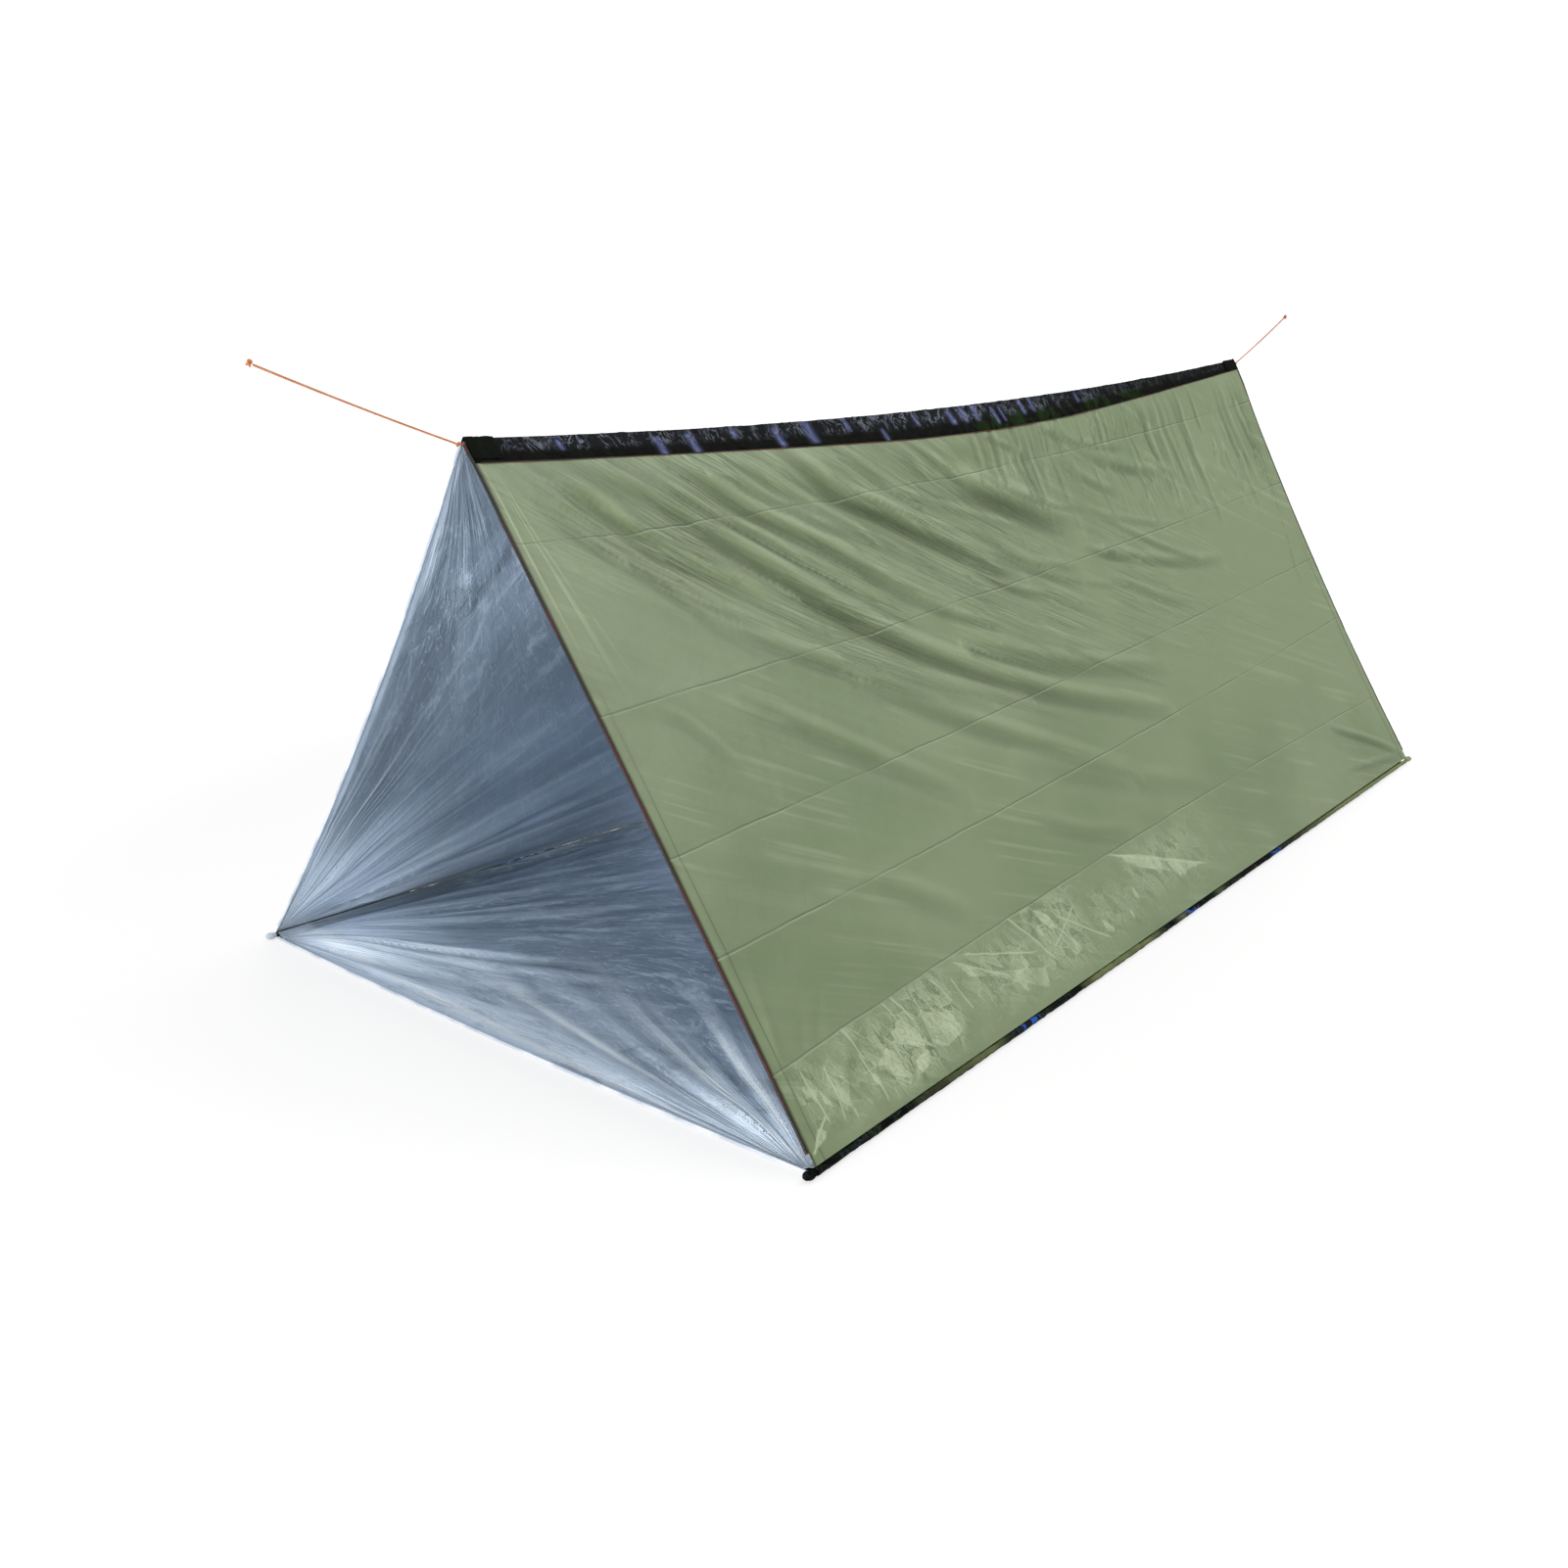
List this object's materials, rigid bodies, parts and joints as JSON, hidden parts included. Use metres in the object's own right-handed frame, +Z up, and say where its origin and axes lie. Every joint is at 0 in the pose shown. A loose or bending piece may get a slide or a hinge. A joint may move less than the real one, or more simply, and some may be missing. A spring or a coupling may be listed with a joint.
{
  "type": "emergency tube tent",
  "caption": "Open-ended tube tent of olive film with a silver inside, hung over an orange ridge rope, with a black ridge band and a black ground film.",
  "frame": {"origin": "on the ground, below the middle of the tent, centre of the box's underside", "axes": "+Z up, +Y along the ridge from the wide front opening to the narrower rear opening, +X to the right seen from the front"},
  "size_m": [1.476, 2.861, 1.0655],
  "materials": {
    "olive_film": "thin crinkled film, satin gloss",
    "silver_foil": "metallised film, crinkled, bluish silver",
    "black_film": "thin black film, glossy and crinkled",
    "dark_hem": "rolled and welded film edge",
    "orange_rope": "braided cord",
    "orange_knot": "braided cord, knotted"
  },
  "bodies": {
    "tube": {"right_slope_film": "olive_film", "left_slope_film": "olive_film", "right_slope_foil": "silver_foil", "left_slope_foil": "silver_foil", "floor_film": "black_film", "floor_foil": "silver_foil", "ridge_band": "black_film", "front_ridge_patch": "black_film", "rear_ridge_patch": "black_film", "front_hem_right": "dark_hem", "front_hem_left": "dark_hem", "rear_hem_right": "dark_hem", "rear_hem_left": "dark_hem", "front_hem_floor": "dark_hem", "rear_hem_floor": "dark_hem", "right_ground_seam": "black_film", "left_ground_seam": "black_film", "front_right_corner": "black_film", "front_left_corner": "black_film", "rear_right_corner": "black_film", "rear_left_corner": "black_film"},
    "ridge_rope": {"ridge_rope": "orange_rope", "front_apex_knot": "orange_knot", "rear_apex_knot": "orange_knot"},
    "front_line": {"front_line": "orange_rope", "front_end_knot": "orange_knot"},
    "rear_line": {"rear_line": "orange_rope", "rear_end_knot": "orange_knot"}
  },
  "joints": [
    {"name": "ridge_drop", "type": "slide", "parent": "tube", "child": "ridge_rope", "axis": [0, 0, -1], "range_m": [0, 0.8], "deforming": ["right_slope_film", "left_slope_film", "right_slope_foil", "left_slope_foil", "ridge_band", "front_ridge_patch", "rear_ridge_patch", "front_hem_right", "front_hem_left", "rear_hem_right", "rear_hem_left"]},
    {"name": "front_line_swing", "type": "hinge", "parent": "ridge_rope", "child": "front_line", "pos_m": [0, -1.0995, 0.93149], "axis": [-1, 0, 0], "range_deg": [-20, 50]},
    {"name": "rear_line_swing", "type": "hinge", "parent": "ridge_rope", "child": "rear_line", "pos_m": [0, 1.1955, 0.931], "axis": [1, 0, 0], "range_deg": [-20, 50]}
  ]
}
